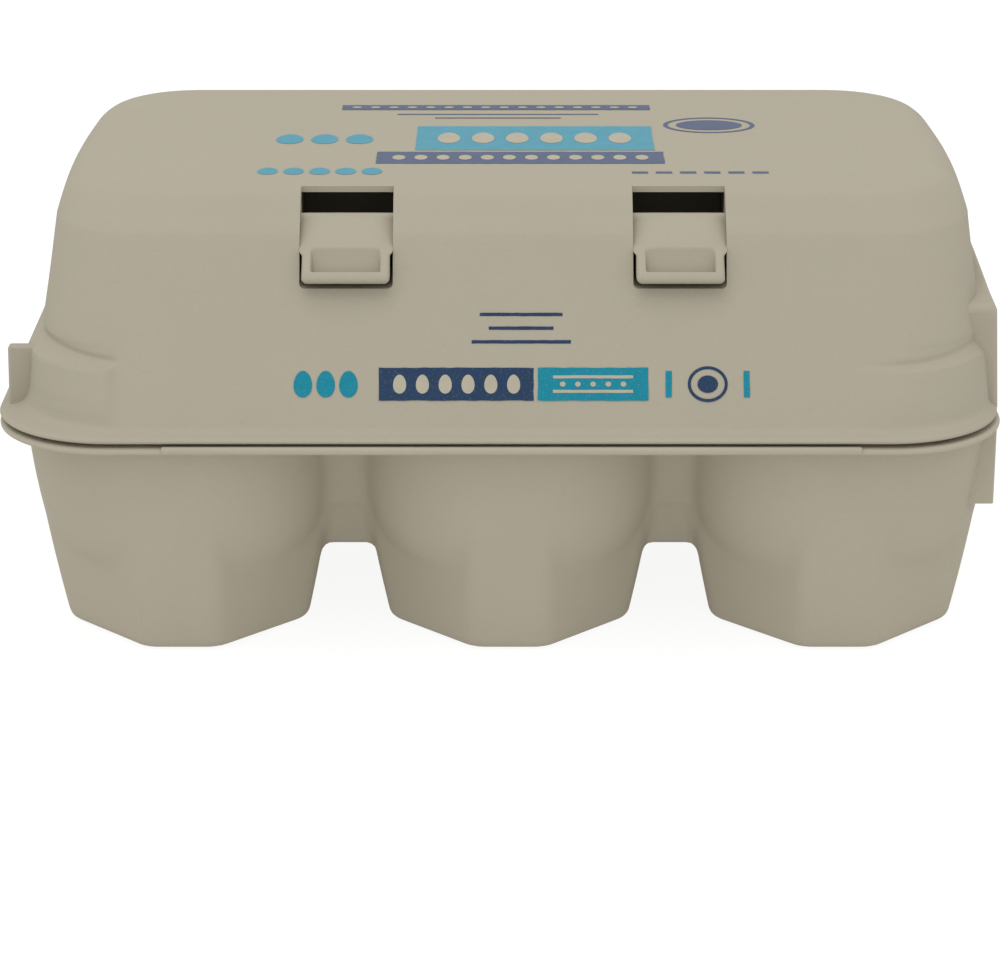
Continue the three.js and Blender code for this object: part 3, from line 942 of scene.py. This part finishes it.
def make_front_print():
    """A band of fields, eggs and a ring low on the front wall, and three short lines above it."""
    low, high = 41.3, 45.6
    middle = (low + high) / 2
    eggs = [oval(-30.2 + 3.3 * k, middle, 1.35, 1.75, egg=0.10) for k in range(3)]
    navy = [bar(-19.2, 3.2, low, high)]
    navy += [(oval(28.4, middle, 2.9, 2.35, 40), oval(28.4, middle, 2.45, 1.95, 40))]
    navy += [oval(28.4, middle, 1.5, 1.15)]
    rows = [(-4.6, 7.4, 52.6), (-3.3, 6.1, 50.8), (-5.8, 8.6, 49.0)]
    navy += [bar(a, b, z - 0.22, z + 0.22, 0.02) for a, b, z in rows]
    teal = [bar(3.8, 19.8, low, high)] + eggs
    teal += [bar(x, x + 0.9, low + 0.4, high - 0.4, 0.03) for x in (22.3, 33.6)]
    print_layer("print_front_navy", navy, on_front, NAVY_INK)
    print_layer("print_front_teal", teal, on_front, TEAL_INK)
    blanks = [oval(-16.2 + 3.3 * k, middle, 0.95, 1.25, egg=0.10) for k in range(6)]
    blanks += [bar(6.0, 17.6, middle + v - 0.2, middle + v + 0.2, 0.02) for v in (0.95, -0.95)]
    blanks += [oval(7.4 + 2.2 * k, middle, 0.42, 0.34, 12) for k in range(5)]
    print_layer("print_front_blanks", blanks, on_front, UNPRINTED, 1.8 * INK)


def make_top_print():
    """Wide fields with rows of blank eggs and dots, an oval in a ring, lines and rows of eggs."""
    navy = [bar(-27.0, 22.4, 17.2, 20.6, 0.06), bar(-20.4, 23.2, -18.0, -10.6, 0.08)]
    navy += [(oval(31.2, 6.8, 7.2, 5.2, 44), oval(31.2, 6.8, 6.5, 4.55, 44))]
    navy += [oval(31.2, 6.8, 5.2, 3.3, 36)]
    navy += [bar(-18.0, 14.0, 13.9, 14.5, 0.03), bar(-12.0, 8.0, 11.4, 12.0, 0.03)]
    navy += [bar(18.0 + 3.6 * k, 20.4 + 3.6 * k, -24.0, -22.8, 0.03) for k in range(6)]
    teal = [bar(-14.6, 22.0, -9.6, 6.0, 0.08)]
    teal += [oval(-34.2 + 5.4 * k, -2.4, 2.1, 3.1, egg=0.12) for k in range(3)]
    teal += [oval(-36.4 + 3.9 * k, -22.6, 1.55, 2.1, egg=0.12) for k in range(5)]
    print_layer("print_top_navy", navy, on_top, SHEEN_NAVY_INK)
    print_layer("print_top_teal", teal, on_top, SHEEN_TEAL_INK)
    blanks = [oval(-9.6 + 5.3 * k, -1.8, 1.75, 3.4, egg=0.12) for k in range(6)]
    blanks += [oval(-17.0 + 3.35 * k, -14.3, 1.0, 1.5, 16) for k in range(12)]
    blanks += [oval(-24.6 + 2.95 * k, 18.9, 0.8, 0.55, 12) for k in range(16)]
    print_layer("print_top_blanks", blanks, on_top, UNPRINTED, 1.8 * INK)


# ---------------------------------------------------------------- floor, light and camera

WORLD = 0.92
FLOOR_WHITE = 0.50
FLOOR_GLOW = 0.36
FLOOR_LEVEL = -0.0004
SWEEP_WHITE = 0.16
SWEEP_GLOW = 0.90
SWEEP_LEVEL = -0.0002
FLOOR_REACH = 4.0

KEY_AT = (-0.16, -0.38, 1.26)
KEY_AIM = (0, 0, 0.03)
KEY_SIZE = 0.9
KEY_POWER = 4.4

CAMERA_AT = (-0.00002, -0.52099, 0.19464)
CAMERA_DOWN_DEG = 19.4957
FOCAL_PX = 3427.5
FRAME_PX = 1000


def make_floor(name, level, white, glow):
    """Wide square of a whiteness, with a glow of its own."""
    mesh = bpy.data.meshes.new(name)
    corners = [(x * FLOOR_REACH, y * FLOOR_REACH, 0) for x, y in ((-1, -1), (1, -1), (1, 1), (-1, 1))]
    mesh.from_pydata(corners, [], [(0, 1, 2, 3)])
    material, _, principled = shader(name, 1.0, 0.0)
    principled.inputs["Base Color"].default_value = (white, white, white, 1)
    principled.inputs["Emission Color"].default_value = (1, 1, 1, 1)
    principled.inputs["Emission Strength"].default_value = glow
    mesh.materials.append(material)
    floor = bpy.data.objects.new(name, mesh)
    bpy.context.scene.collection.objects.link(floor)
    floor.location.z = level
    return floor


def make_stage():
    """A white sweep for the picture's ground, over a light grey floor that lights the carton from
    below, under an even white sky."""
    sweep = make_floor("sweep", SWEEP_LEVEL, SWEEP_WHITE, SWEEP_GLOW)
    sweep.visible_diffuse = False
    sweep.visible_glossy = False
    sweep.visible_shadow = False
    floor = make_floor("floor", FLOOR_LEVEL, FLOOR_WHITE, FLOOR_GLOW)
    floor.visible_camera = False

    world = bpy.data.worlds.new("studio")
    world.use_nodes = True
    background = world.node_tree.nodes["Background"]
    background.inputs["Color"].default_value = (1, 1, 1, 1)
    background.inputs["Strength"].default_value = WORLD
    bpy.context.scene.world = world
    bpy.context.scene.view_settings.view_transform = "Standard"


def add_area_light(name, location, target, size, power):
    """Soft square light that faces a target."""
    light = bpy.data.lights.new(name, "AREA")
    light.shape = "SQUARE"
    light.size = size
    light.energy = power
    lamp = bpy.data.objects.new(name, light)
    bpy.context.scene.collection.objects.link(lamp)
    lamp.location = location
    away = [a - b for a, b in zip(location, target)]
    lamp.rotation_euler = Vector(away).to_track_quat("Z", "Y").to_euler()


def add_camera():
    """The photograph's view, fitted to the carton's outline: long lens, from the front and above."""
    camera = bpy.data.cameras.new("camera")
    camera.sensor_fit = "HORIZONTAL"
    camera.sensor_width = 36
    camera.lens = FOCAL_PX / FRAME_PX * camera.sensor_width
    camera.clip_start = 0.01
    camera.clip_end = 50
    holder = bpy.data.objects.new("camera", camera)
    bpy.context.scene.collection.objects.link(holder)
    holder.location = CAMERA_AT
    holder.rotation_euler = (math.radians(90 - CAMERA_DOWN_DEG), 0, 0)
    bpy.context.scene.camera = holder


# ---------------------------------------------------------------- the carton

make_tray()
make_fold("front_fold", -1)
make_fold("back_fold", 1)
make_lid()
make_end_blocks()
make_tongue("tongue_left", LATCH_X[0], "latch_left")
make_tongue("tongue_right", LATCH_X[1], "latch_right")
make_front_print()
make_top_print()
make_stage()
add_area_light("key", KEY_AT, KEY_AIM, KEY_SIZE, KEY_POWER)
add_camera()
